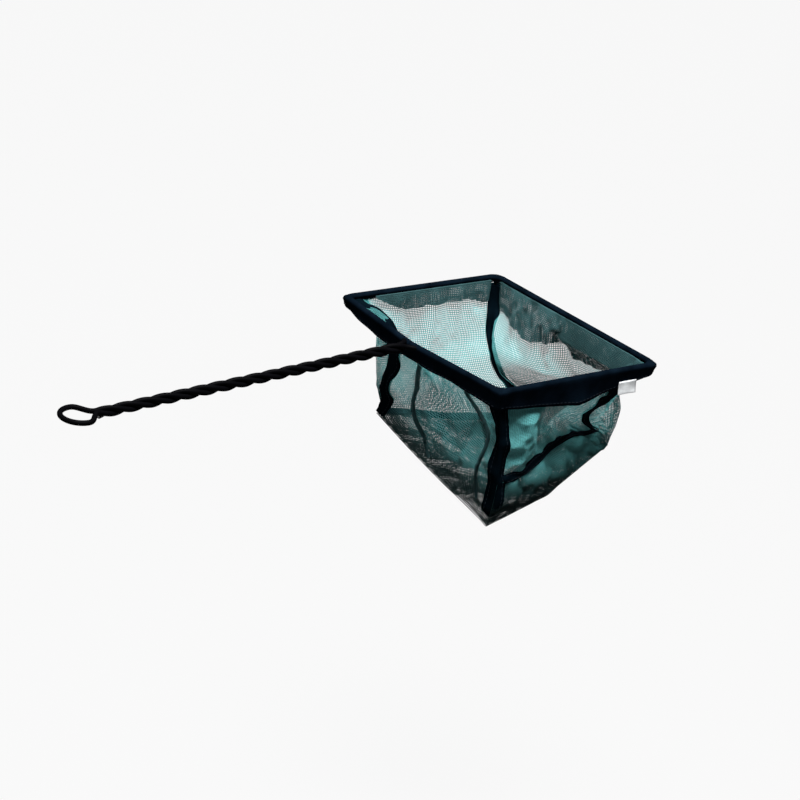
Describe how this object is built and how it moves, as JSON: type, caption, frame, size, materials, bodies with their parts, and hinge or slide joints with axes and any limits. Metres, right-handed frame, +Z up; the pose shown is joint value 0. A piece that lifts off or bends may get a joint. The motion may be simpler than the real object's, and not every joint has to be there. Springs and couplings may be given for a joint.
{
  "type": "aquarium fish net",
  "caption": "Small aquarium fish net: a twisted coated-wire handle with a hanging eye, a square wire mouth, and a limp mesh bag with a sewn hem and taped corner seams.",
  "frame": {"origin": "on the axis of the twisted handle where a hand holds it, 140 mm from the mouth", "axes": "+X along the handle to the mouth, +Z up out of the mouth's plane, +Y to the left"},
  "size_m": [0.3144, 0.131, 0.0744],
  "materials": {
    "coated_wire": "satin black PVC coat",
    "steel_core": "drawn wire",
    "hem_cloth": "black woven tape",
    "binding_tape": "black woven tape",
    "net_mesh": "fine dark teal mesh",
    "tag_ribbon": "bare white ribbon"
  },
  "bodies": {
    "net_frame": {"steel_wire": "steel_core", "strand_coating_left": "coated_wire", "strand_coating_right": "coated_wire", "strand_coating_return": "coated_wire", "eye_coating": "coated_wire", "mouth_coating": "coated_wire", "hem_left": "hem_cloth", "hem_far": "hem_cloth", "hem_right": "hem_cloth", "hem_handle_left": "hem_cloth", "hem_handle_right": "hem_cloth", "net_handle_side": "net_mesh", "net_far": "net_mesh", "net_left": "net_mesh", "net_right": "net_mesh", "corner_tape_near_left": "binding_tape", "corner_tape_near_right": "binding_tape", "corner_tape_far_left": "binding_tape", "corner_tape_far_right": "binding_tape"},
    "bag_floor": {"net_floor": "net_mesh", "bottom_tape_left": "binding_tape", "bottom_tape_right": "binding_tape"},
    "tag": {"side_tag": "tag_ribbon"}
  },
  "joints": [
    {"name": "bag_lift", "type": "slide", "parent": "net_frame", "child": "bag_floor", "axis": [0, 0, 1], "range_m": [0, 0.05], "deforming": ["net_handle_side", "net_far", "net_left", "net_right", "corner_tape_near_left", "corner_tape_near_right", "corner_tape_far_left", "corner_tape_far_right"]},
    {"name": "tag_flap", "type": "hinge", "parent": "net_frame", "child": "tag", "pos_m": [0.23181, -0.06525, 0.00183], "axis": [-1, 0, 0], "range_deg": [0, 100]}
  ]
}
